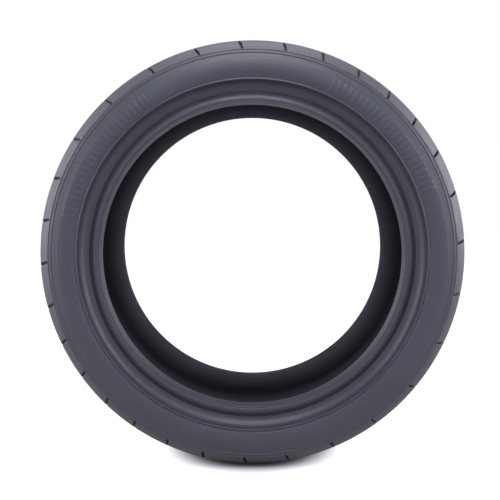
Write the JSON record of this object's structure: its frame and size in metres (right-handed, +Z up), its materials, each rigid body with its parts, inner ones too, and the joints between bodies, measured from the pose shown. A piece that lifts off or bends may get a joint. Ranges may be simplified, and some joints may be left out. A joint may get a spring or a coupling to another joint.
{
  "type": "car tyre",
  "caption": "Low-profile car tyre: a hollow rubber ring with grooved tread, slotted shoulders, smooth ringed sidewalls, rim guard ridges and beads for a wheel rim.",
  "frame": {"origin": "wheel centre, on the spin axis midway between the beads", "axes": "+Y along the spin axis, away from the outer sidewall; +Z up, with the contact patch at -Z"},
  "size_m": [0.6532, 0.248, 0.6517],
  "materials": {
    "tyre": "dark blue-grey moulded rubber, satin, unworn"
  },
  "bodies": {
    "root": {"tyre": "tyre"}
  },
  "joints": []
}
